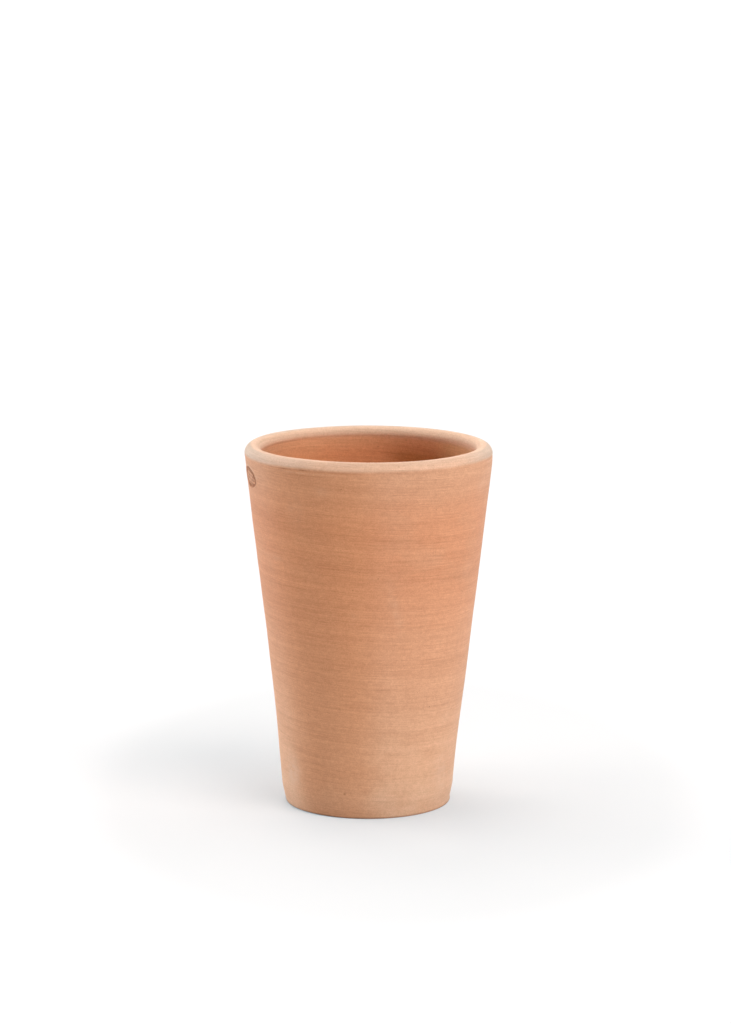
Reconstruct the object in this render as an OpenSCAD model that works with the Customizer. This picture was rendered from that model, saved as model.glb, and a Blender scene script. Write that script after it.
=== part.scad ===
// A tall tapered terracotta plant pot, made of the clay members that a potter joins with slip:
// a wall with its foot, a floor slab let into the foot, a coil in the inside corner, and a rim collar.
// Millimetres, +Z up, -Y the front, origin on the axis at the face that the pot stands on.

/* [Pot] */
// Height from the ground to the top of the lip
pot_h = 441; // [300:1:600]
// Outer diameter at the shoulder of the lip
rim_d = 300; // [260:2:420]
// Diameter at which the straight outer taper would reach the ground
base_d = 198; // [170:2:240]
// Wall thickness, measured level
wall_t = 18; // [13:0.5:26]

/* [Rim] */
// Height of the rim collar, from its seam to the top of the lip
collar_h = 12; // [11:0.5:30]
// Thickness of the lip, from its outer shoulder to its inner edge
lip_t = 20; // [14:0.5:21]
// Radius of the outer round of the lip
lip_r = 11; // [10.5:0.5:16]
// Drop from the top of the lip to its outer shoulder
lip_drop = 9; // [6:0.5:10]
// Width of the tongue under the collar
tongue_w = 6; // [3:0.5:9]
// Depth of the tongue under the collar
tongue_h = 5; // [2:0.5:12]

/* [Foot] */
// How far the lower wall swells outside the straight taper, at the ground
swell = 3.6; // [0:0.2:6]
// Height at which the swell has died out
swell_h = 130; // [60:5:200]
// Height of the bevel turned on the foot
bevel_h = 22; // [10:1:40]
// How far the bevel turns in at the ground
bevel_in = 1.6; // [0:0.1:4]
// Radius of the rounded edge under the foot
foot_edge_r = 1.5; // [1:0.5:6]
// Height of the foot ring, from the ground to the underside of the floor slab
foot_ring_h = 6; // [3:0.5:15]
// Width of the ledge that carries the floor slab
ledge_w = 10; // [5:0.5:25]

/* [Floor] */
// Thickness of the floor slab
floor_t = 18; // [10:0.5:30]
// Diameter of the drain hole
drain_d = 24; // [10:1:50]
// Hollow radius of the coil smoothed into the inside corner
coil_r = 16; // [8:1:30]

/* [Mark] */
// Length of the plain oval pressed into the wall under the rim
mark_w = 48; // [20:1:60]
// Height of the pressed oval
mark_h = 24; // [12:1:34]
// How deep the oval is pressed
mark_deep = 1.2; // [0.4:0.1:3]
// Drop from the top of the lip to the middle of the oval
mark_drop = 34; // [32:1:120]
// Turn of the oval round the pot, from the front
mark_turn = -75; // [-180:1:180]

/* [Joints] */
// Gap that the slip fills round the tongue and round the slab
slip_gap = 0.3; // [0.1:0.05:0.8]

/* [Hidden] */
$fn = 128;

clay = [0.82, 0.57, 0.43];
lip_clay = [0.89, 0.73, 0.60];
inner_clay = [0.75, 0.47, 0.33];

swell_steps = 12;
edge_steps = 6;
lip_steps = 10;
mark_steps = 32;
past = 1;

shoulder_z = pot_h - lip_drop;
seam_z = pot_h - collar_h;
floor_z = foot_ring_h + floor_t;
taper = (rim_d - base_d) / 2 / shoulder_z;

// Radius of the straight outer taper at height z
function taper_r(z) = base_d / 2 + taper * z;

// Radius of the inside of the wall at height z
function inside_r(z) = taper_r(z) - wall_t;

// Radius of the outside of the wall at height z, with the swell of the lower wall
function outside_r(z) = taper_r(z) + swell * pow(max(0, 1 - z / swell_h), 1.5);

// Points of an arc about the centre c, from angle a to angle b
function arc(c, r, a, b, steps) =
    [for (i = [0 : steps]) let (t = a + (b - a) * i / steps) [c[0] + r * cos(t), c[1] + r * sin(t)]];

foot_r = outside_r(bevel_h) - taper * bevel_h - bevel_in;
seat_r = inside_r(floor_z);
ledge_r = seat_r - ledge_w;
tongue_r = taper_r(seam_z) - wall_t / 2;
mark_z = pot_h - mark_drop;

// The ring under the collar, or the groove for it when grown by the slip gap
module tongue_section(gap) {
    translate([tongue_r - tongue_w / 2 - gap, seam_z - tongue_h - gap])
        square([tongue_w + 2 * gap, tongue_h + gap]);
}

// Oval column that stands out of the wall at the mark
module mark_column() {
    oval = [for (i = [0 : mark_steps - 1]) let (t = 360 * i / mark_steps)
        [mark_w / 2 * cos(t), mark_h / 2 * sin(t)]];
    rotate([0, 0, mark_turn])
        translate([0, -inside_r(mark_z), mark_z])
            rotate([90, 0, 0])
                linear_extrude(height = wall_t + mark_deep + past) polygon(oval);
}

// The sunk oval: the part of its column that lies less than its depth inside the wall's outside
module mark() {
    low = mark_z - mark_h / 2 - past;
    high = mark_z + mark_h / 2 + past;
    intersection() {
        mark_column();
        rotate_extrude() polygon([
            [taper_r(low) - mark_deep, low],
            [taper_r(low) + past, low],
            [taper_r(high) + past, high],
            [taper_r(high) - mark_deep, high]
        ]);
    }
}

// Tapered wall, from the foot ring that stands on the ground up to the groove for the collar
module wall() {
    outside = [for (i = [0 : swell_steps])
        let (z = bevel_h + (swell_h - bevel_h) * i / swell_steps) [outside_r(z), z]];
    section = concat(
        [[ledge_r, 0]],
        arc([foot_r - foot_edge_r, foot_edge_r], foot_edge_r, -90, 0, edge_steps),
        outside,
        [
            [taper_r(seam_z), seam_z],
            [inside_r(seam_z), seam_z],
            [seat_r, floor_z],
            [seat_r, foot_ring_h],
            [ledge_r, foot_ring_h]
        ]
    );
    color(clay) difference() {
        rotate_extrude() difference() {
            polygon(section);
            tongue_section(slip_gap);
        }
        mark();
    }
}

// Rim collar: a short neck with a round lip on it and a tongue under it, keyed into the wall's top.
// The lip's crown stands at crown_r, between its outer round and its tighter inner round
module rim_collar() {
    crown_r = rim_d / 2 - sqrt(lip_r * lip_r - pow(lip_r - lip_drop, 2));
    out_angle = asin((lip_r - lip_drop) / lip_r);
    in_r = crown_r - (rim_d / 2 - lip_t);
    section = concat(
        [[inside_r(seam_z), seam_z], [taper_r(seam_z), seam_z]],
        arc([crown_r, pot_h - lip_r], lip_r, out_angle, 90, lip_steps),
        arc([crown_r, pot_h - in_r], in_r, 90, 180, lip_steps)
    );
    color(lip_clay) rotate_extrude() {
        polygon(section);
        tongue_section(0);
    }
}

// Floor slab with its drain hole, lying on the ledge of the foot ring
module floor_slab() {
    color(inner_clay) translate([0, 0, foot_ring_h]) difference() {
        cylinder(h = floor_t, r = seat_r - slip_gap);
        translate([0, 0, -past]) cylinder(h = floor_t + 2 * past, d = drain_d);
    }
}

// Coil of clay smoothed hollow into the corner, which seals the slab to the wall
module corner_coil() {
    lean = sqrt(1 + taper * taper);
    hollow_r = seat_r + taper * coil_r - coil_r * lean;
    top_z = floor_z + coil_r - taper * coil_r / lean;
    color(inner_clay) rotate_extrude() difference() {
        polygon([[hollow_r, floor_z], [seat_r, floor_z], [inside_r(top_z), top_z]]);
        translate([hollow_r, floor_z + coil_r]) circle(r = coil_r);
    }
}

wall();
rim_collar();
floor_slab();
corner_coil();
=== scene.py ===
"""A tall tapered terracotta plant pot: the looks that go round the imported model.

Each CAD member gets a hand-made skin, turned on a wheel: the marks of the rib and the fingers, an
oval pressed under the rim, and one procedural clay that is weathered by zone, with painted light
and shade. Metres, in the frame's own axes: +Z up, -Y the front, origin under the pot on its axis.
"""

import math

import bpy
import numpy as np
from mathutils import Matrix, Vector


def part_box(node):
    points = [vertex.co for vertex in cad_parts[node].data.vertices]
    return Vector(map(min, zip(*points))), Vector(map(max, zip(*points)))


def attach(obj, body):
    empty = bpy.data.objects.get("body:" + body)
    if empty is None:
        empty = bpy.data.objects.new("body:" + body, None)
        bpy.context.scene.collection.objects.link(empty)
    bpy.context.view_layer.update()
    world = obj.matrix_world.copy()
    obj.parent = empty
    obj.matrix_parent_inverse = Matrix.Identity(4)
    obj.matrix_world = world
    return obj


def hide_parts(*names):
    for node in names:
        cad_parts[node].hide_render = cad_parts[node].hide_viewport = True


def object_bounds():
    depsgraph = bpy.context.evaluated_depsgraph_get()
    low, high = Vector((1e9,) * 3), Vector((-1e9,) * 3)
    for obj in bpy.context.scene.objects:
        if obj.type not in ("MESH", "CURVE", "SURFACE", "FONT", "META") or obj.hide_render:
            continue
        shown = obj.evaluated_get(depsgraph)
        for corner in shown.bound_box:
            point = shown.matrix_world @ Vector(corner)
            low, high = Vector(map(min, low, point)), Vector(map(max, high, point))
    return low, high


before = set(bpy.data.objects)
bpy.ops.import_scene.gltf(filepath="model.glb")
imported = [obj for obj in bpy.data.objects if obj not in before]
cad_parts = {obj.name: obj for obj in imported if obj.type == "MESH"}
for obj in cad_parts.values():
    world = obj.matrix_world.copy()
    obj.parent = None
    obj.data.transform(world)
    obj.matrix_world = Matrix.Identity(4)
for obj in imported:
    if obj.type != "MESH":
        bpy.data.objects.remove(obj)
cad_low, cad_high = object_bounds()

MM = 0.001
TURN = 2 * math.pi

# Heights and radii that the frame gives
POT_H = cad_high.z
RIM_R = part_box("rim_collar")[1].x
SEAM_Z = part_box("wall")[1].z
SLAB_LOW_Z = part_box("floor_slab")[0].z
SLAB_TOP_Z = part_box("floor_slab")[1].z
SLAB_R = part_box("floor_slab")[1].x
COIL_TOP_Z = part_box("corner_coil")[1].z

# The rest of the turned section, as the CAD model has it
BASE_R = 99 * MM
WALL_T = 18 * MM
LIP_T = 20 * MM
LIP_R = 11 * MM
LIP_DROP = 9 * MM
SWELL = 3.6 * MM
SWELL_H = 130 * MM
BEVEL_H = 22 * MM
BEVEL_IN = 1.6 * MM
FOOT_EDGE_R = 1.5 * MM
LEDGE_W = 10 * MM
COIL_R = 16 * MM
DRAIN_R = 12 * MM

SHOULDER_Z = POT_H - LIP_DROP
TAPER = (RIM_R - BASE_R) / SHOULDER_Z

# The oval pressed under the rim: turn from the front, middle height and half sizes
MARK_TURN = math.radians(-75)
MARK_Z = POT_H - 34 * MM
MARK_HALF_W = 24 * MM
MARK_HALF_H = 12 * MM
MARK_DEEP = 1.3 * MM
MARK_TILT = math.radians(-4)
MARK_BORDER = 4.7 * MM
MARK_FIELD_DROP = 1.2 * MM
BEADS = 22
BEAD_R = 1.5 * MM
FIELD_PITCH = 6.5 * MM
FIELD_ROW = 4.4 * MM

# The wheel's lines run down a little to the right, by this much for each metre
LINE_TILT = 0.055

# Lines scored by grains under the rib: height at the front and turn of the middle, half length, depth share
WHEEL_LINES = [
    (343 * MM, 5, 30, 0.8),
    (340 * MM, -55, 20, 0.7),
    (305 * MM, 30, 34, 1.0),
    (279 * MM, -36, 18, 0.9),
    (220 * MM, -20, 18, 0.7),
    (150 * MM, -40, 16, 0.7),
    (144 * MM, -10, 30, 0.8),
    (136 * MM, 6, 14, 0.6),
    (130 * MM, 40, 26, 0.6),
    (71 * MM, -32, 18, 0.9),
    (318 * MM, 150, 50, 0.9),
    (204 * MM, -150, 44, 0.9),
    (96 * MM, 115, 36, 0.8),
]

# Pale blooms and scuffs: turn and height of the middle, half width in degrees, half height, lean, strength
BLOOMS = [
    (-58, 48 * MM, 9, 21 * MM, 0.0, 0.8),
    (56, 46 * MM, 12, 32 * MM, 0.0, 0.5),
    (-22, 406 * MM, 5, 7 * MM, 0.0, 0.25),
    (-37, 380 * MM, 6, 22 * MM, 0.0, 0.25),
    (-54, 317 * MM, 9, 5 * MM, 0.0, 0.3),
    (14, 262 * MM, 3, 38 * MM, -0.10, 0.3),
    (-8, 251 * MM, 3, 12 * MM, 0.0, 0.2),
    (33, 322 * MM, 8, 8 * MM, 0.0, 0.2),
    (60, 300 * MM, 6, 16 * MM, 0.0, 0.25),
    (55, 120 * MM, 7, 18 * MM, 0.0, 0.25),
    (28, 85 * MM, 7, 12 * MM, 0.0, 0.2),
    (67, 402 * MM, 6, 12 * MM, 0.0, 0.3),
    (128, 60 * MM, 11, 26 * MM, 0.0, 0.7),
    (176, 236 * MM, 8, 30 * MM, 0.06, 0.3),
    (-134, 84 * MM, 10, 34 * MM, 0.0, 0.6),
    (-112, 286 * MM, 7, 18 * MM, 0.0, 0.3),
]

# Gouges close under the lip: turn and height of the middle, half width in degrees, half height, strength
GOUGES = [
    (-41.5, SEAM_Z + 0.4 * MM, 2.6, 0.9 * MM, 0.5),
    (-31, SEAM_Z + 1.2 * MM, 2.3, 1.2 * MM, 0.4),
]

# Where the lip's seam shows: turn of the middle, half width in degrees, strength
SEAM_BITES = [
    (-35, 11, 0.8),
    (-18, 16, 0.6),
    (76, 16, 0.7),
]

# Waves of the lip's crown left by the thrower: turn of the middle, half width in degrees, rise
CROWN_WAVES = [
    (-40, 26, 0.5 * MM),
    (180, 50, 0.5 * MM),
    (30, 13, -0.35 * MM),
    (-112, 22, 0.6 * MM),
]

# Uneven relief of thrown clay: seed, cells around, height of a cell, how far it stands out
BELLIES = (3, 5, 34 * MM, 0.22 * MM)
RINGS = (4, 7, 11 * MM, 0.06 * MM)
FINE_LINES = (5, 11, 3.6 * MM, 0.025 * MM)
FINGERS = (21, 4, 17 * MM, 0.45 * MM)
FINE_FINGERS = (22, 7, 6 * MM, 0.12 * MM)
CROWN = (31, 9, 1.0, 0.22 * MM)
FINE_CROWN = (32, 23, 1.0, 0.10 * MM)
DRAIN_EDGE = (41, 9, 5 * MM, 0.25 * MM)
COIL_DENTS = (51, 19, 9 * MM, 0.3 * MM)

# Out of round: humps in a turn, height, phase
OUT_OF_ROUND = [
    (2, 0.25 * MM, 0.8),
    (3, 0.12 * MM, 2.1),
]

# The foot stands this much to the left of the rim's axis. That dies out between the two heights
FOOT_LEAN = 1.0 * MM
FOOT_LEAN_LOW = 40 * MM
FOOT_LEAN_HIGH = 110 * MM

# The wall is fuller than its straight taper by this much on each side. It begins between the first two
# heights and ends between the other two
FULL_RIGHT = 1.2 * MM
FULL_RIGHT_FROM = (60 * MM, 170 * MM)
FULL_RIGHT_TO = (418 * MM, 436 * MM)
FULL_LEFT = 0.6 * MM
FULL_LEFT_FROM = (0, 20 * MM)
FULL_LEFT_TO = (385 * MM, 420 * MM)

# On the left there are a low belly and a waist above it too: height, half height, how far it stands out
LEFT_BELLY = (110 * MM, 45 * MM, 0.5 * MM)
LEFT_WAIST = (235 * MM, 35 * MM, -0.45 * MM)

# Relief of the scored marks, at their full strength
SEAM_DEEP = 0.25 * MM
WHEEL_LINE_DEEP = 0.14 * MM
GOUGE_DEEP = 0.6 * MM

# Inside, the throat leaves the straight taper here and stands in by this much under the lip
THROAT_Z = POT_H - 40 * MM
THROAT_IN = 2.55 * MM
# Round this turn the thrower left the throat fuller: middle and half width in degrees, how far
THROAT_FULL_TURN = 148
THROAT_FULL_HALF = 29
THROAT_FULL_IN = 1.1 * MM

# Steps of the turned meshes
COLUMN_STEP = math.radians(2.8)
MARK_COLUMN_STEP = math.radians(0.3)
ROW_STEP = 1.4 * MM
FINE_ROW_STEP = 0.6 * MM
INSIDE_ROW_STEP = 4 * MM
FLOOR_STEP = 2.5 * MM
EVEN_COLUMNS = 144
SHARP_ANGLE = math.radians(50)

# The arrises of the drain hole are worn to this radius, and the coil's skin sinks this far into the slab
DRAIN_EDGE_R = 2.5 * MM
COIL_SINK = 0.4 * MM

# Colours of the settled lime and dirt; they also give the painted highlights and painted shade round the
# oval, under the lip and at the foot
LIME_AND_PAINTED_HIGHLIGHT = (0.740, 0.490, 0.350)
DIRT_AND_PAINTED_SHADE = (0.28, 0.095, 0.032)

# Marks of turning in the clay: cell width and height in millimetres, detail, shift, shade swing, bump
TURNED_MARKS = [
    (320, 22, 2.0, 3.0, 0.026, 0.0),
    (200, 7.0, 2.0, 7.0, 0.023, 0.08),
    (220, 1.3, 3.0, 4.0, 0.031, 0.10),
    (16, 0.9, 2.0, 9.0, 0.029, 0.10),
]
MOTTLE_SWING = 0.032
GRAIN_SWING = 0.056
GRAIN_BUMP = 0.08
PIT_BUMP = -0.35

# The stage: lamps by name with turn, rise and level, and the photograph's camera
LAMPS = [
    ("front_high", 20, 45, 0.08),
    ("right_low", 60, 12, 0.37),
    ("left_low", -120, 12, 0.54),
    ("right_high", 40, 58, 0.34),
    ("left_high", -80, 58, 0.21),
    ("back_left_high", -160, 58, 0.25),
    ("back_right_high", 140, 58, 0.12),
    ("side_right_high", 100, 58, 0.09),
    ("top", 0, 90, 0.28),
]
LAMP_SPREAD = math.radians(30)
FLOOR_HALF = 60.0
CAMERA_RISE = math.radians(10.32)
CAMERA_DISTANCE = 4.2
CAMERA_TARGET = (-3.6 * MM, 0, 357 * MM)
CAMERA_LENS = 121.85
CAMERA_SENSOR = 36
CAMERA_CLIP_END = 200


def taper_r(z):
    """Radius of the straight outer taper at height z."""
    return BASE_R + TAPER * z


def outside_r(z):
    """Radius of the outside of the wall at height z, fuller in its lower third."""
    return taper_r(z) + SWELL * np.maximum(0, 1 - z / SWELL_H) ** 1.5


def inside_r(z):
    """Radius of the inside at height z, drawn in softly towards the lip."""
    drawn = np.clip((z - THROAT_Z) / (POT_H - 5 * MM - THROAT_Z), 0, 1)
    return taper_r(z) - WALL_T - THROAT_IN * drawn ** 2


# Relief left by the wheel and the hand

def noise(seed, around, cell, theta, z):
    """Smooth noise from -1 to 1 over the wall: so many cells around, each so high."""
    lattice = np.random.RandomState(seed).uniform(-1, 1, (around, 4096))
    u = (theta / TURN % 1.0) * around
    v = z / cell + 64
    i = np.floor(u).astype(int)
    j = np.floor(v).astype(int)
    fu = (u - i) ** 2 * (3 - 2 * (u - i))
    fv = (v - j) ** 2 * (3 - 2 * (v - j))
    low = lattice[i % around, j] * (1 - fu) + lattice[(i + 1) % around, j] * fu
    high = lattice[i % around, j + 1] * (1 - fu) + lattice[(i + 1) % around, j + 1] * fu
    return low * (1 - fv) + high * fv


def ring_noise(seed, around, theta):
    """Noise from -1 to 1 that changes round the pot only."""
    return noise(seed, around, 1.0, theta, theta * 0)


def uneven(relief, theta, z):
    """One of the uneven reliefs, at its own height."""
    seed, around, cell, height = relief
    return height * noise(seed, around, cell, theta, z)


def smooth_step(value, low, high):
    """0 below low, 1 above high, with a soft passage."""
    t = np.clip((value - low) / (high - low), 0, 1)
    return t * t * (3 - 2 * t)


def hump(value, middle, width):
    """A soft hump of height 1."""
    return np.exp(-(((value - middle) / width) ** 2))


def turn_from(theta, middle):
    """Degrees from the middle turn, from -180 to 180."""
    return (np.degrees(theta) - middle + 180) % 360 - 180


def level(theta, z):
    """Height counted along the wheel's tilted lines."""
    return z + LINE_TILT * outside_r(z) * np.sin(theta)


def fullness(theta, z):
    """How far the wall stands out of its straight taper, up to the lip on the right, lower on the left."""
    right = FULL_RIGHT * smooth_step(z, *FULL_RIGHT_FROM) * (1 - smooth_step(z, *FULL_RIGHT_TO))
    left = FULL_LEFT * smooth_step(z, *FULL_LEFT_FROM) * (1 - smooth_step(z, *FULL_LEFT_TO))
    for height, half, out in (LEFT_BELLY, LEFT_WAIST):
        left = left + out * hump(z, height, half)
    return left + (right - left) * (0.5 + 0.5 * np.sin(theta))


def wheel_relief(theta, z):
    """How far the turned outside stands out of its true shape."""
    tilted = level(theta, z)
    out = uneven(BELLIES, theta, tilted) + uneven(RINGS, theta, tilted) + uneven(FINE_LINES, theta, tilted)
    for humps, height, phase in OUT_OF_ROUND:
        out = out + height * np.cos(humps * theta + phase)
    lean = -FOOT_LEAN * np.sin(theta) * (1 - smooth_step(z, FOOT_LEAN_LOW, FOOT_LEAN_HIGH))
    return out + lean + fullness(theta, z)


def wheel_lines(theta, z):
    """From 0 to 1: the longer scored lines."""
    wander = 1.1 * MM * noise(13, 9, 60 * MM, theta, z)
    lines = np.zeros_like(theta)
    for height, middle, half, share in WHEEL_LINES:
        reach = hump(turn_from(theta, middle), 0, 0.7 * half)
        lines = np.maximum(lines, share * reach * hump(level(theta, z) + wander, height, 1.1 * MM))
    return lines


def blooms(theta, z):
    """From 0 to 1: pale lime blooms and scuffs, still without their ragged edges."""
    pale = np.zeros_like(theta)
    for middle, height, half_w, half_h, lean, share in BLOOMS:
        up = z - height
        across = turn_from(theta, middle) - lean * up / MM
        pale = np.maximum(pale, share * np.exp(-((across / half_w) ** 2) - (up / half_h) ** 2))
    return pale


def seam_bite(theta):
    """How plainly the lip's seam shows at each turn, most on the left of the front."""
    bite = 0.2 * np.clip(ring_noise(11, 9, theta), 0, 1)
    for middle, half, share in SEAM_BITES:
        bite = bite + share * hump(turn_from(theta, middle), 0, half)
    return bite


def seam_place(theta, z):
    """Height above the seam, which wanders a little round the pot."""
    return z + 0.5 * MM * ring_noise(12, 7, theta) - SEAM_Z


def seam_lines(theta, z):
    """From 0 to 1: a soft groove and a finer line under it, scored under the lip."""
    above = seam_place(theta, z)
    return seam_bite(theta) * (hump(above, 0.2 * MM, 1.5 * MM) + hump(above, -5.2 * MM, 1.2 * MM))


def seam_ridge(theta, z):
    """From 0 to 1: the ridge between the groove and the line, where a highlight is painted."""
    return seam_bite(theta) * hump(seam_place(theta, z), -2.4 * MM, 0.9 * MM)


def gouges(theta, z):
    """From 0 to 1: short gouges in the groove."""
    deep = np.zeros_like(theta)
    for middle, height, half_w, half_h, share in GOUGES:
        deep = np.maximum(deep, share * hump(turn_from(theta, middle), 0, half_w) * hump(z, height, half_h))
    return deep


def mark_place(theta, z):
    """Distance along and up the oval from its middle."""
    u = np.radians(turn_from(theta, math.degrees(MARK_TURN))) * outside_r(MARK_Z)
    v = z - MARK_Z
    along = u * math.cos(MARK_TILT) + v * math.sin(MARK_TILT)
    up = v * math.cos(MARK_TILT) - u * math.sin(MARK_TILT)
    return along, up


def mark_depth(along, up, inset=0.0):
    """About how far a place lies inside the oval, or inside a smaller one set in by inset."""
    half_w, half_h = MARK_HALF_W - inset, MARK_HALF_H - inset
    return half_h * (1 - np.sqrt((along / half_w) ** 2 + (up / half_h) ** 2))


def mark_border(along, up):
    """From 0 to 1: the sunk border of the oval, as wide all round."""
    in_oval = smooth_step(mark_depth(along, up), -0.2 * MM, 0.5 * MM)
    return in_oval * (1 - mark_inside(along, up))


def mark_inside(along, up):
    """From 0 to 1: the field inside the border, which was pressed widest along the top."""
    return smooth_step(mark_depth(along, up + MARK_FIELD_DROP, MARK_BORDER), -0.3 * MM, 0.3 * MM)


def mark_beads(along, up):
    """From 0 to 1: a ring of small worn beads standing in the border."""
    ring_w, ring_h = MARK_HALF_W - MARK_BORDER / 2, MARK_HALF_H - MARK_BORDER / 2
    up = up + MARK_FIELD_DROP / 2
    beads = np.zeros_like(along)
    for i in range(BEADS):
        angle = TURN * i / BEADS
        away = np.hypot(along - ring_w * math.cos(angle), up - ring_h * math.sin(angle))
        beads = np.maximum(beads, np.sqrt(np.clip(1 - (away / BEAD_R) ** 2, 0, 1)))
    return beads


def mark_bumps(along, up):
    """From 0 to 1: the field's rows of low beads, worn away unevenly."""
    row = np.round(up / FIELD_ROW)
    place = along / FIELD_PITCH - 0.5 * (row % 2)
    away = np.hypot(place - np.round(place), up / FIELD_ROW - row) / 0.5
    worn = 0.7 + 0.3 * np.sin(along / (3.1 * MM)) * np.sin(up / (2.3 * MM) + 1)
    return worn * np.sqrt(np.clip(1 - away ** 2, 0, 1))


def mark_relief(theta, z):
    """The pressed oval: a sunk beaded border, a burr round it and a low, bumpy field."""
    along, up = mark_place(theta, z)
    border = -MARK_DEEP * mark_border(along, up) + 0.6 * MM * mark_beads(along, up)
    field = (0.6 * MM * mark_bumps(along, up) - 0.6 * MARK_DEEP) * mark_inside(along, up)
    burr = 0.45 * MM * hump(mark_depth(along, up), -1.0 * MM, 0.8 * MM)
    return border + field + burr


def outside_relief(theta, z):
    """All that stands out of the outside or is cut into it."""
    scored = SEAM_DEEP * seam_lines(theta, z) + WHEEL_LINE_DEEP * wheel_lines(theta, z)
    scored = scored + GOUGE_DEEP * gouges(theta, z)
    return wheel_relief(theta, z) - scored + mark_relief(theta, z)


def outside_stains_and_painted_light(theta, z):
    """From -1, where dirt and iron have settled and where shade is painted, to 1, where lime has bloomed and
    where highlights are painted.
    """
    along, up = mark_place(theta, z)
    # Dirt and painted shade: the oval's sunk border is darkened, widest along the top, where shade falls in
    # the recess.
    border = 1.35 * mark_border(along, up) * (1 - 0.6 * mark_beads(along, up))
    border = border * (0.9 + 0.75 * noise(61, 160, 4.5 * MM, theta, z))
    inside = mark_inside(along, up)
    # Painted highlight and shade: the field's low beads are pale and the gaps between them dark.
    field = inside * (1.7 * mark_bumps(along, up) - 0.9 + 0.3 * noise(62, 120, 6 * MM, theta, z))
    # Painted highlight: a pale band on the burr above the oval's top border and on the ridge between the
    # seam's groove and line.
    rubbed = 0.55 * hump(mark_depth(along, up), -1.8 * MM, 1.4 * MM) * smooth_step(up, 0, 5 * MM)
    rubbed = rubbed + 0.45 * seam_ridge(theta, z)
    # Dirt and painted contact shade in the foot's lowest few millimetres, darkest on the left.
    foot = (0.62 + 0.16 * np.clip(-np.sin(theta), 0, 1)) * (1 - smooth_step(z, 0, 4 * MM))
    dirt_and_painted_shade = 0.34 * seam_lines(theta, z) + gouges(theta, z) + 0.3 * wheel_lines(theta, z) + border + foot
    return np.clip(blooms(theta, z) * (1 - inside) + field + rubbed - dirt_and_painted_shade, -1, 1)


def full_throat(theta, z):
    """How far the throat, under the lip's inner round, stands in where it was left fuller."""
    below = POT_H - z
    swelling = smooth_step(below, 2.5 * MM, 11 * MM) * (1 - smooth_step(below, 11 * MM, 32 * MM))
    return THROAT_FULL_IN * swelling * hump(turn_from(theta, THROAT_FULL_TURN), 0, THROAT_FULL_HALF)


def inside_relief(theta, z):
    """Broad finger marks inside, which die out towards the lip, and the fuller stretch of the throat."""
    tilted = z + 3 * MM * np.sin(theta + 2.0)
    fingers = uneven(FINGERS, theta, tilted) + uneven(FINE_FINGERS, theta, tilted)
    fingers = fingers * smooth_step(z, SLAB_TOP_Z, SLAB_TOP_Z + 14 * MM)
    return fingers * (1 - smooth_step(z, SEAM_Z - 30 * MM, SEAM_Z)) + full_throat(theta, z)


# Turned meshes

def spaced(low, high, step):
    """Evenly spaced values from low to high, both in, no further apart than step."""
    return np.linspace(low, high, max(2, int(math.ceil(abs(high - low) / step)) + 1))


def columns_all_round():
    """Angles of the mesh columns, close together across the oval."""
    half = MARK_HALF_W * 1.16 / RIM_R
    fine = spaced(MARK_TURN - half, MARK_TURN + half, MARK_COLUMN_STEP)
    coarse = spaced(MARK_TURN + half, MARK_TURN - half + TURN, COLUMN_STEP)
    return np.concatenate([fine[:-1], coarse[:-1]])


def arc(centre, radius, start, end, steps):
    """Points of an arc in the section, angles in degrees."""
    angles = np.radians(np.linspace(start, end, steps + 1))
    return [(centre[0] + radius * math.cos(a), centre[1] + radius * math.sin(a)) for a in angles]


class Strip:
    """A stretch of the section, worked in one way. It shares its last point with the next strip."""

    def __init__(self, points, relief=None, stains_and_painted_light=None):
        self.points = np.array(points)
        self.relief = relief
        self.stains_and_painted_light = stains_and_painted_light

    def normals(self):
        step = np.gradient(self.points, axis=0)
        normal = np.stack([step[:, 1], -step[:, 0]], 1)
        return normal / np.linalg.norm(normal, axis=1)[:, None]

    def worked(self, columns):
        """Radius, height and stain with painted light of each point of the strip, column by column."""
        theta, r = np.meshgrid(columns, self.points[:, 0], indexing="ij")
        z = np.broadcast_to(self.points[:, 1], theta.shape)
        stain_and_painted_light = self.stains_and_painted_light(theta, z) if self.stains_and_painted_light else np.zeros_like(r)
        if self.relief:
            out = self.relief(theta, z)
            normal = self.normals()
            return r + out * normal[:, 0], z + out * normal[:, 1], stain_and_painted_light
        return r, z, stain_and_painted_light


def turned(name, columns, strips):
    """A closed ring, turned from strips that follow each other anticlockwise round the section."""
    parts = [strip.worked(columns) for strip in strips]
    r, z, stain_and_painted_light = (np.concatenate([part[k][:, :-1] for part in parts], axis=1) for k in range(3))
    theta = np.broadcast_to(columns[:, None], r.shape)
    points = np.stack([r * np.sin(theta), -r * np.cos(theta), z], -1).reshape(-1, 3)
    across, around = r.shape
    here = np.arange(across)[:, None] * around + np.arange(around)[None, :]
    there = np.roll(here, -1, 0)
    quads = np.stack([here, there, np.roll(there, -1, 1), np.roll(here, -1, 1)], -1).reshape(-1, 4)
    mesh = bpy.data.meshes.new(name)
    mesh.from_pydata(points.tolist(), [], quads.tolist())
    mesh.materials.append(CLAY)
    mesh.polygons.foreach_set("use_smooth", np.ones(len(quads), bool))
    mesh.attributes.new("stain_and_painted_light", "FLOAT", "POINT").data.foreach_set("value", stain_and_painted_light.ravel().astype(np.float32))
    mesh.set_sharp_from_angle(angle=SHARP_ANGLE)
    piece = bpy.data.objects.new(name, mesh)
    bpy.context.scene.collection.objects.link(piece)
    return piece


# The clay

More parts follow.
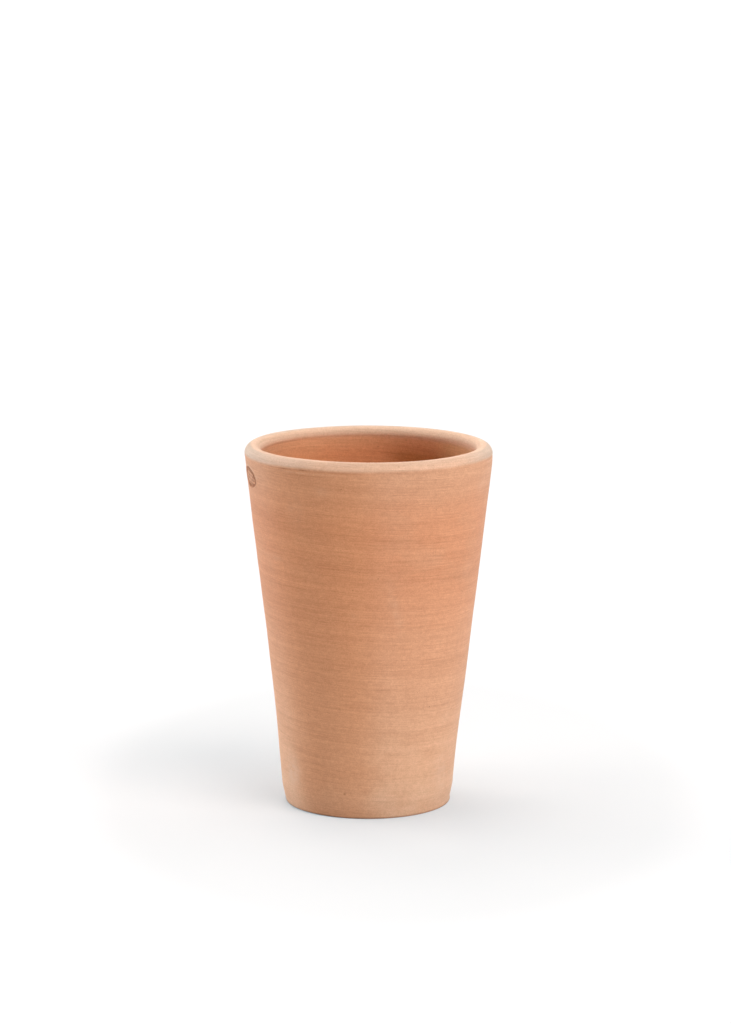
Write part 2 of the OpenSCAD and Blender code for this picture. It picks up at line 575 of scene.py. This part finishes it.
class Nodes:
    """A material's nodes. Each method adds a node and gives its output."""

    def __init__(self, name):
        self.material = bpy.data.materials.new(name)
        self.material.use_nodes = True
        self.tree = self.material.node_tree
        self.shader = self.tree.nodes["Principled BSDF"]
        self.point = self.add("ShaderNodeTexCoord").outputs["Object"]
        split = self.add("ShaderNodeSeparateXYZ")
        self.feed(split.inputs[0], self.point)
        self.height = split.outputs["Z"]
        self.x = split.outputs["X"]
        self.y = split.outputs["Y"]
        squares = self.math("ADD", self.math("POWER", self.x, 2.0), self.math("POWER", self.y, 2.0))
        self.radius = self.math("SQRT", squares)

    def add(self, kind, **settings):
        node = self.tree.nodes.new(kind)
        for key, value in settings.items():
            setattr(node, key, value)
        return node

    def feed(self, socket, value):
        if isinstance(value, bpy.types.NodeSocket):
            self.tree.links.new(value, socket)
        else:
            socket.default_value = value

    def math(self, operation, a, b=0.0):
        node = self.add("ShaderNodeMath", operation=operation)
        self.feed(node.inputs[0], a)
        self.feed(node.inputs[1], b)
        return node.outputs[0]

    def remap(self, value, low, high, to_low=0.0, to_high=1.0):
        """Smooth passage of value from low to high, given as to_low to to_high."""
        node = self.add("ShaderNodeMapRange", interpolation_type="SMOOTHSTEP")
        for name, given in (("Value", value), ("From Min", low), ("From Max", high),
                            ("To Min", to_low), ("To Max", to_high)):
            self.feed(node.inputs[name], given)
        return node.outputs["Result"]

    def noise(self, wide, high, detail=2.0, shift=0.0):
        """Noise whose cells are so wide and so high, in millimetres, along the tilted lines."""
        place = self.add("ShaderNodeMapping", vector_type="TEXTURE")
        self.feed(place.inputs["Vector"], self.point)
        place.inputs["Location"].default_value = (0.1 * shift, 0.07 * shift, 0.13 * shift)
        place.inputs["Rotation"].default_value = (0, LINE_TILT, 0)
        place.inputs["Scale"].default_value = (wide * MM, wide * MM, high * MM)
        node = self.add("ShaderNodeTexNoise")
        self.feed(node.inputs["Vector"], place.outputs[0])
        node.inputs["Scale"].default_value = 1.0
        node.inputs["Detail"].default_value = detail
        node.inputs["Roughness"].default_value = 0.55
        return node.outputs["Fac"]

    def swing(self, value, amount):
        """Noise taken as a swing of plus or minus amount about nothing."""
        return self.remap(value, 0.25, 0.75, -amount, amount)

    def pits(self, cell, share, size, shift=0.0):
        """1 in small round pits: that share of cells so many millimetres wide hold one."""
        place = self.add("ShaderNodeMapping")
        self.feed(place.inputs["Vector"], self.point)
        place.inputs["Location"].default_value = (shift, shift, shift)
        place.inputs["Scale"].default_value = (1000 / cell,) * 3
        node = self.add("ShaderNodeTexVoronoi")
        self.feed(node.inputs["Vector"], place.outputs[0])
        node.inputs["Scale"].default_value = 1.0
        split = self.add("ShaderNodeSeparateColor")
        self.feed(split.inputs[0], node.outputs["Color"])
        chosen = self.math("LESS_THAN", split.outputs[0], share)
        reach = self.math("MULTIPLY", split.outputs[1], size / cell)
        near = self.remap(node.outputs["Distance"], self.math("MULTIPLY", reach, 0.4), reach, 1.0, 0.0)
        return self.math("MULTIPLY", chosen, near)

    def mix(self, share, a, b):
        node = self.add("ShaderNodeMix", data_type="RGBA")
        self.feed(node.inputs[0], share)
        for socket, value in ((node.inputs[6], a), (node.inputs[7], b)):
            self.feed(socket, value if isinstance(value, bpy.types.NodeSocket) else (*value, 1.0))
        return node.outputs[2]

    def sum(self, parts):
        total = parts[0]
        for part in parts[1:]:
            total = self.math("ADD", total, part)
        return total

    def facing(self, x_share, y_share):
        """1 on the side of the pot that the level direction points to, -1 on the far side."""
        along = self.sum([self.math("MULTIPLY", self.x, x_share), self.math("MULTIPLY", self.y, y_share)])
        return self.math("DIVIDE", along, self.radius)

    def shaded(self, colour, shade):
        """The colour times a grey shade, and the redder the darker, as wet or iron-rich clay is."""
        gamma = self.add("ShaderNodeGamma")
        self.feed(gamma.inputs["Color"], colour)
        self.feed(gamma.inputs["Gamma"], self.math("SUBTRACT", 1.6, self.math("MULTIPLY", shade, 0.6)))
        node = self.add("ShaderNodeVectorMath", operation="SCALE")
        self.feed(node.inputs[0], gamma.outputs[0])
        self.feed(node.inputs["Scale"], shade)
        return node.outputs[0]


def outside_colour(n):
    """Outside: orange in its upper half, chalkier towards the foot and the lip, and redder left of the front,
    which is painted shade.
    """
    orange = (0.640, 0.278, 0.143)
    chalky = (0.708, 0.412, 0.254)
    under_lip = (0.656, 0.335, 0.194)
    foot = (0.700, 0.430, 0.277)
    painted_shade_red = (0.606, 0.251, 0.107)
    tan = (0.600, 0.298, 0.166)
    colour = n.mix(n.remap(n.height, 0.340, -0.020), orange, chalky)
    colour = n.mix(n.remap(n.height, 0.355, 0.432), colour, under_lip)
    colour = n.mix(n.remap(n.height, 0.055, 0.015), colour, foot)
    patches = n.remap(n.noise(50, 36, 3.0), 0.42, 0.66)
    colour = n.mix(n.math("MULTIPLY", patches, 0.30), colour, tan)
    # Painted shade: left of the front, where the pot lies in shade, the clay is redder.
    return n.mix(n.remap(n.facing(-0.42, -0.91), 0.80, 1.0, 0.0, 0.55), colour, painted_shade_red)


def lip_colour(n, is_inside):
    """Lip: wiped smooth, bleached almost to cream; painted light pales its low rounds, a painted highlight
    its crown, painted sheen its sides.
    """
    left_grey = (0.600, 0.460, 0.370)
    painted_side_sheen = (0.525, 0.409, 0.322)
    inner_high = (0.682, 0.442, 0.302)
    painted_light_inner_low = (0.745, 0.455, 0.300)
    front_crown_highlight = (0.710, 0.464, 0.324)
    back_crown_highlight = (0.590, 0.425, 0.320)
    patches = n.remap(n.noise(60, 40, 3.0, 8.0), 0.35, 0.65)
    rubbed = n.mix(patches, (0.612, 0.370, 0.248), (0.600, 0.374, 0.254))
    chalky = n.mix(patches, (0.740, 0.447, 0.298), (0.725, 0.440, 0.294))
    # Painted light: the outer round is palest low down, where it turns away from the light above.
    outer = n.mix(n.remap(n.height, POT_H - 7 * MM, POT_H - 1.5 * MM), chalky, rubbed)
    # Painted sheen: the lip greys and whitens towards the sides, where it is seen at a grazing angle.
    side_sheen_share = n.remap(n.math("ABSOLUTE", n.x), 0.100, 0.150, 0.0, 0.7)
    on_left = n.remap(n.x, -0.055, -0.095, 0.0, 0.35)
    on_front = n.remap(n.y, 0.030, -0.020)
    outer = n.mix(n.math("MULTIPLY", on_left, on_front), outer, left_grey)
    outer = n.mix(side_sheen_share, outer, painted_side_sheen)
    # Painted light: the inner round is paler low down, where it falls into shade.
    inner = n.mix(n.remap(n.height, POT_H - 4 * MM, POT_H - 11 * MM), inner_high, painted_light_inner_low)
    cream = n.mix(is_inside, outer, inner)
    # Painted highlight: a thin band along the crown, brightest at the front.
    crown = n.mix(n.remap(n.y, 0.0, 0.120), front_crown_highlight, back_crown_highlight)
    return n.mix(n.remap(n.height, POT_H - 0.5 * MM, POT_H, 0.0, 0.8), cream, crown)


def inside_colour(n):
    """Inside: deeper and redder than the outside, paler near the mouth; painted shade darkens its left and
    back right, painted light pales its right.
    """
    mouth = (0.785, 0.392, 0.204)
    painted_light_right_brown = (0.72, 0.41, 0.185)
    painted_shade_left_brown = (0.53, 0.25, 0.13)
    painted_shade_brown = (0.38, 0.130, 0.028)
    patches = n.remap(n.noise(70, 35, 3.0, 2.0), 0.35, 0.65)
    deep = n.mix(patches, (0.700, 0.288, 0.127), (0.690, 0.294, 0.133))
    colour = n.mix(n.remap(n.height, POT_H - 36 * MM, POT_H - 10 * MM), deep, mouth)
    # Painted shade: a dark brown patch low on the inner wall at the back right, where shade falls.
    below_mouth = n.remap(n.height, POT_H - 17 * MM, POT_H - 40 * MM)
    painted_shade_back_right = n.math("MULTIPLY", n.remap(n.facing(0.53, 0.85), 0.90, 1.0), below_mouth)
    # Painted light: the inner wall on the right, which lies in shade, is paler and browner.
    colour = n.mix(n.remap(n.x, 0.075, 0.105, 0.0, 0.6), colour, painted_light_right_brown)
    # Painted shade: the lit inner wall on the left is darker.
    colour = n.mix(n.remap(n.x, -0.080, -0.125, 0.0, 0.4), colour, painted_shade_left_brown)
    return n.mix(n.math("MULTIPLY", painted_shade_back_right, 0.76), colour, painted_shade_brown)


def zoned_colour(n):
    """The clay's colour before its marks: outside, inside, and the lip with a wavering lower edge."""
    wobble = n.swing(n.noise(60, 40, 2.0, 5.0), 0.6 * MM)
    level_up = n.math("ADD", n.height, wobble)
    middle = n.sum([n.math("MULTIPLY", n.height, TAPER), BASE_R - WALL_T / 2])
    is_inside = n.remap(n.math("SUBTRACT", n.radius, middle), -2 * MM, 2 * MM, 1.0, 0.0)
    lip_outside = n.remap(level_up, SHOULDER_Z - 3.4 * MM, SHOULDER_Z + 1.8 * MM)
    lower_right = n.math("ADD", level_up, n.math("MULTIPLY", n.x, 0.016))
    lip_inside = n.remap(lower_right, SHOULDER_Z - 6 * MM, SHOULDER_Z + 1.5 * MM)
    colour = n.mix(is_inside, outside_colour(n), inside_colour(n))
    is_lip = n.sum([
        n.math("MULTIPLY", is_inside, lip_inside),
        n.math("MULTIPLY", n.math("SUBTRACT", 1.0, is_inside), lip_outside),
    ])
    return n.mix(is_lip, colour, lip_colour(n, is_inside))


def settled(n, colour, pits):
    """The colour with the lime that has bloomed on it and the painted highlights, and the dirt in its lines,
    pits and specks and the painted shade.
    """
    stain_and_painted_light = n.add("ShaderNodeAttribute", attribute_name="stain_and_painted_light").outputs["Fac"]
    ragged = n.remap(n.noise(12, 7, 4.0, 6.0), 0.30, 0.62, 0.25, 1.0)
    lime_and_painted_highlight = n.math("MULTIPLY", n.remap(stain_and_painted_light, 0.0, 1.0), ragged)
    colour = n.mix(n.math("MULTIPLY", lime_and_painted_highlight, 0.75), colour, LIME_AND_PAINTED_HIGHLIGHT)
    dirt_and_painted_shade = n.remap(stain_and_painted_light, 0.0, -1.0, 0.0, 0.9)
    specks = n.math("MULTIPLY", n.pits(11, 0.35, 1.5, 5.0), 0.4)
    dark = n.math("MAXIMUM", n.math("MAXIMUM", n.math("MULTIPLY", pits, 0.5), specks), dirt_and_painted_shade)
    return n.mix(dark, colour, DIRT_AND_PAINTED_SHADE)


def terracotta():
    """One clay for the whole pot, weathered by zone, with painted light and shade in some zones: outside,
    lip, inside and underside.
    """
    n = Nodes("terracotta")
    marks = [(n.noise(wide, high, detail, shift), swing, height)
             for wide, high, detail, shift, swing, height in TURNED_MARKS]
    mottle = n.noise(6, 5, 3.0, 1.0)
    grain = n.noise(1.6, 1.4, 2.0, 2.0)
    pits = n.math("MAXIMUM", n.pits(9, 0.10, 1.1), n.pits(34, 0.25, 2.4, 3.0))

    turned_marks = n.sum([n.swing(mark, swing) for mark, swing, _ in marks])
    shade = n.sum([
        1.0,
        n.math("MULTIPLY", turned_marks, n.remap(n.height, 0.020, 0.110, 0.6, 1.0)),
        n.swing(mottle, MOTTLE_SWING),
        n.swing(grain, GRAIN_SWING),
        n.remap(n.noise(60, 1.4, 1.0, 12.0), 0.60, 0.70, 0.0, -0.05),
        n.remap(n.noise(50, 1.4, 1.0, 15.0), 0.60, 0.70, 0.0, 0.04),
    ])
    n.feed(n.shader.inputs["Base Color"], settled(n, n.shaded(zoned_colour(n), shade), pits))

    bump = n.add("ShaderNodeBump")
    bump.inputs["Distance"].default_value = 1.0 * MM
    raised = [n.math("MULTIPLY", mark, height) for mark, _, height in marks if height]
    raised += [n.math("MULTIPLY", grain, GRAIN_BUMP), n.math("MULTIPLY", pits, PIT_BUMP)]
    n.feed(bump.inputs["Height"], n.sum(raised))
    n.feed(n.shader.inputs["Normal"], bump.outputs[0])
    n.feed(n.shader.inputs["Roughness"], n.remap(mottle, 0.3, 0.7, 0.68, 0.80))
    n.shader.inputs["Specular IOR Level"].default_value = 0.22
    n.shader.inputs["Sheen Weight"].default_value = 0.10
    n.shader.inputs["Sheen Roughness"].default_value = 0.5
    return n.material


CLAY = terracotta()


# Pieces

SEAT_R = taper_r(SLAB_TOP_Z) - WALL_T
LEDGE_R = SEAT_R - LEDGE_W


def make_wall(columns):
    """The wall, from its foot ring to the seam under the lip."""
    foot_r = outside_r(BEVEL_H) - TAPER * BEVEL_H - BEVEL_IN
    out_r = outside_r(BEVEL_H)
    mark_low = MARK_Z - MARK_HALF_H * 1.3
    heights = np.concatenate([
        spaced(BEVEL_H, mark_low, ROW_STEP)[:-1],
        spaced(mark_low, SEAM_Z, FINE_ROW_STEP),
    ])
    bevel = [(foot_r + (out_r - foot_r) * z / BEVEL_H, z) for z in spaced(FOOT_EDGE_R, BEVEL_H, ROW_STEP)]
    foot_edge = arc((foot_r - FOOT_EDGE_R, FOOT_EDGE_R), FOOT_EDGE_R, -90, 0, 8)

    def relief(theta, z):
        worn = (2.6 + 1.4 * np.sin(theta)) * MM
        return outside_relief(theta, z) * smooth_step(z, 0, worn)

    return turned("wall_skin", columns, [
        Strip([(r, 0.0) for r in spaced(LEDGE_R, foot_r - FOOT_EDGE_R, 4 * MM)]),
        Strip(foot_edge[:-1] + bevel + [(outside_r(z), z) for z in heights[1:]], relief, outside_stains_and_painted_light),
        Strip([(taper_r(SEAM_Z), SEAM_Z), (inside_r(SEAM_Z), SEAM_Z)]),
        Strip([(inside_r(z), z) for z in spaced(SEAM_Z, SLAB_TOP_Z, INSIDE_ROW_STEP)], inside_relief),
        Strip([(SEAT_R, SLAB_TOP_Z), (SEAT_R, SLAB_LOW_Z)]),
        Strip([(SEAT_R, SLAB_LOW_Z), (LEDGE_R, SLAB_LOW_Z)]),
        Strip([(LEDGE_R, SLAB_LOW_Z), (LEDGE_R, 0.0)]),
    ])


def softened(points, rounds):
    """Rounds the arrises of a stretch by averaging neighbours, apart from its ends."""
    points = np.array(points)
    for _ in range(rounds):
        points[1:-1] = 0.25 * points[:-2] + 0.5 * points[1:-1] + 0.25 * points[2:]
    return points


def make_rim(columns):
    """The rim collar: a short neck with the round lip on it."""
    crown_r = RIM_R - math.sqrt(LIP_R ** 2 - (LIP_R - LIP_DROP) ** 2)
    out_angle = math.degrees(math.asin((LIP_R - LIP_DROP) / LIP_R))
    in_r = crown_r - RIM_R + LIP_T
    neck = [(taper_r(z), z) for z in spaced(SEAM_Z, SHOULDER_Z, FINE_ROW_STEP)]
    outer_round = arc((crown_r, POT_H - LIP_R), LIP_R, out_angle, 90, 22)
    inner_round = arc((crown_r, POT_H - in_r), in_r, 90, 180, 22)
    throat = [(inside_r(z), z) for z in spaced(POT_H - in_r, SEAM_Z, FINE_ROW_STEP)]
    skin = softened(neck[:-1] + outer_round[:-1] + inner_round[:-1] + throat, 6)
    # The point that the seam's underside starts from stands a hair behind the throat's last one
    skin = np.vstack([skin, skin[-1] + (0.02 * MM, 0)])

    def relief(theta, z):
        row = np.arange(len(skin))
        on_crown = smooth_step(row, len(neck) - 2, len(neck) + 8)
        on_crown = on_crown * (1 - smooth_step(row, len(skin) - len(throat) - 2, len(skin) - 1))
        outside = outside_relief(theta, z) * (row < len(neck) + 10)
        crown_relief = uneven(CROWN, theta, theta * 0) + uneven(FINE_CROWN, theta, theta * 0)
        for middle, half, rise in CROWN_WAVES:
            crown_relief = crown_relief + rise * hump(turn_from(theta, middle), 0, half)
        in_round = row >= len(neck) + len(outer_round) - 2
        return outside * (1 - on_crown) + crown_relief * on_crown + full_throat(theta, z) * in_round

    def stains_and_painted_light(theta, z):
        return outside_stains_and_painted_light(theta, z) * (np.arange(len(skin)) < len(neck) + 6)

    return turned("rim_skin", columns, [
        Strip(skin, relief, stains_and_painted_light),
        Strip([tuple(skin[-1]), tuple(skin[0])]),
    ])


def make_floor(columns):
    """The floor slab with its drain hole, whose edges are worn soft."""
    flat_r = DRAIN_R + DRAIN_EDGE_R
    top = arc((flat_r, SLAB_TOP_Z - DRAIN_EDGE_R), DRAIN_EDGE_R, 90, 180, 6)
    bottom = arc((flat_r, SLAB_LOW_Z + DRAIN_EDGE_R), DRAIN_EDGE_R, 180, 270, 6)

    def relief(theta, z):
        return uneven(DRAIN_EDGE, theta, z)

    return turned("floor_skin", columns, [
        Strip([(SLAB_R, SLAB_LOW_Z), (SLAB_R, SLAB_TOP_Z)]),
        Strip([(r, SLAB_TOP_Z) for r in spaced(SLAB_R, flat_r, FLOOR_STEP)]),
        Strip(top + bottom, relief),
        Strip([(r, SLAB_LOW_Z) for r in spaced(flat_r, SLAB_R, FLOOR_STEP)]),
    ])


def make_coil(columns):
    """The coil pressed hollow into the inside corner, with the dents of the finger."""
    lean = math.sqrt(1 + TAPER ** 2)
    hollow_r = SEAT_R + TAPER * COIL_R - COIL_R * lean
    low_z = SLAB_TOP_Z - COIL_SINK
    hollow = arc((hollow_r, SLAB_TOP_Z + COIL_R), COIL_R, -math.degrees(math.atan(TAPER)), -90, 14)

    def relief(theta, z):
        return uneven(COIL_DENTS, theta, z)

    return turned("coil_skin", columns, [
        Strip([(hollow_r, SLAB_TOP_Z), (hollow_r, low_z)]),
        Strip([(hollow_r, low_z), (SEAT_R, low_z)]),
        Strip([(SEAT_R, low_z), (hollow[0][0] + COIL_SINK, COIL_TOP_Z)]),
        Strip([(hollow[0][0] + COIL_SINK, COIL_TOP_Z), hollow[0]]),
        Strip(hollow, relief),
    ])


fine_columns = columns_all_round()
even_columns = np.linspace(0, TURN, EVEN_COLUMNS + 1)[:-1]
for piece, node, slot in (
    (make_wall(fine_columns), "wall", "terracotta_wall"),
    (make_rim(fine_columns), "rim_collar", "terracotta_lip"),
    (make_floor(even_columns), "floor_slab", "terracotta_inside"),
    (make_coil(even_columns), "corner_coil", "terracotta_inside"),
):
    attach(piece, "root")
    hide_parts(node)


# Stage: white floor, soft lights, camera

def seen_share(tree):
    """1 for what the camera sees, straight or in a gloss, 0 for the light that falls on the pot."""
    path = tree.nodes.new("ShaderNodeLightPath")
    share = path.outputs["Is Camera Ray"]
    for name in ("Is Glossy Ray", "Is Transmission Ray"):
        either = tree.nodes.new("ShaderNodeMath")
        either.operation = "MAXIMUM"
        tree.links.new(share, either.inputs[0])
        tree.links.new(path.outputs[name], either.inputs[1])
        share = either.outputs[0]
    return share


def white_floor_material():
    """White to the camera where nothing shades it, whitened by painted light away from the pot, with a
    painted contact shadow round the foot; pale grey to other light.

    Its grey to the camera is warm and its glow cool, which takes the pot's own orange off its shadows.
    """
    lit_grey = (0.80, 0.80, 0.80)
    seen_grey = (0.600, 0.512, 0.472)
    near_glow = (0.157, 0.280, 0.335)
    far_glow = (0.225, 0.341, 0.396)
    n = Nodes("stage_white")
    n.tree.nodes.remove(n.shader)
    seen = seen_share(n.tree)
    diffuse = n.add("ShaderNodeBsdfDiffuse")
    n.feed(diffuse.inputs["Color"], n.mix(seen, lit_grey, seen_grey))
    oval = n.add("ShaderNodeMapping")
    oval.inputs["Location"].default_value = (-0.030, -0.036, 0)
    oval.inputs["Scale"].default_value = (1, 0.6, 1)
    n.feed(oval.inputs["Vector"], n.point)
    away = n.add("ShaderNodeVectorMath", operation="LENGTH")
    n.feed(away.inputs[0], oval.outputs[0])
    # Painted light: the glow grows away from the pot, so the shadows fade to white.
    far = n.remap(away.outputs["Value"], 0.325, 0.42)
    lift = n.add("ShaderNodeEmission")
    n.feed(lift.inputs["Color"], n.mix(far, near_glow, far_glow))
    # Painted contact shadow: the glow is off close round the foot, which leaves a dark ring on the floor.
    painted_contact_shadow_radius = n.sum([n.radius, n.math("MULTIPLY", n.x, 0.015), n.math("MULTIPLY", n.y, -0.015)])
    n.feed(lift.inputs["Strength"], n.math("MULTIPLY", seen, n.remap(painted_contact_shadow_radius, 0.095, 0.102)))
    both = n.add("ShaderNodeAddShader")
    n.feed(both.inputs[0], diffuse.outputs[0])
    n.feed(both.inputs[1], lift.outputs[0])
    n.feed(n.tree.nodes["Material Output"].inputs[0], both.outputs[0])
    return n.material


def make_stage():
    """A floor so wide that the camera sees no end of it."""
    corners = [(x * FLOOR_HALF, y * FLOOR_HALF, 0) for x, y in ((-1, -1), (1, -1), (1, 1), (-1, 1))]
    mesh = bpy.data.meshes.new("stage_floor")
    mesh.from_pydata(corners, [], [(0, 1, 2, 3)])
    mesh.materials.append(white_floor_material())
    floor = bpy.data.objects.new("stage_floor", mesh)
    bpy.context.scene.collection.objects.link(floor)


def make_world():
    """White to the camera and in gloss, and no light on the pot."""
    world = bpy.data.worlds.new("studio")
    bpy.context.scene.world = world
    world.use_nodes = True
    tree = world.node_tree
    background = tree.nodes["Background"]
    background.inputs["Color"].default_value = (1, 1, 1, 1)
    tree.links.new(seen_share(tree), background.inputs["Strength"])


def make_light(name, turn, rise, strength):
    """A broad soft light: turn is from the front towards +X, rise above the floor, strength what it gives."""
    a, e = math.radians(turn), math.radians(rise)
    data = bpy.data.lights.new(name, "SUN")
    data.angle = LAMP_SPREAD
    data.energy = math.pi * strength
    light = bpy.data.objects.new(name, data)
    away = Vector((math.sin(a) * math.cos(e), -math.cos(a) * math.cos(e), math.sin(e)))
    light.rotation_euler = away.to_track_quat("Z", "Y").to_euler()
    bpy.context.scene.collection.objects.link(light)


def make_camera():
    """The photograph's camera: a long lens, a little above the pot."""
    back = Vector((0, -math.cos(CAMERA_RISE), math.sin(CAMERA_RISE)))
    data = bpy.data.cameras.new("camera")
    data.lens = CAMERA_LENS
    data.sensor_width = CAMERA_SENSOR
    data.clip_end = CAMERA_CLIP_END
    camera = bpy.data.objects.new("camera", data)
    camera.location = Vector(CAMERA_TARGET) + back * CAMERA_DISTANCE
    camera.rotation_euler = back.to_track_quat("Z", "Y").to_euler()
    bpy.context.scene.collection.objects.link(camera)
    bpy.context.scene.camera = camera


make_stage()
make_world()
for name, turn, rise, strength in LAMPS:
    make_light(name, turn, rise, strength)
make_camera()
bpy.context.scene.view_settings.view_transform = "Standard"
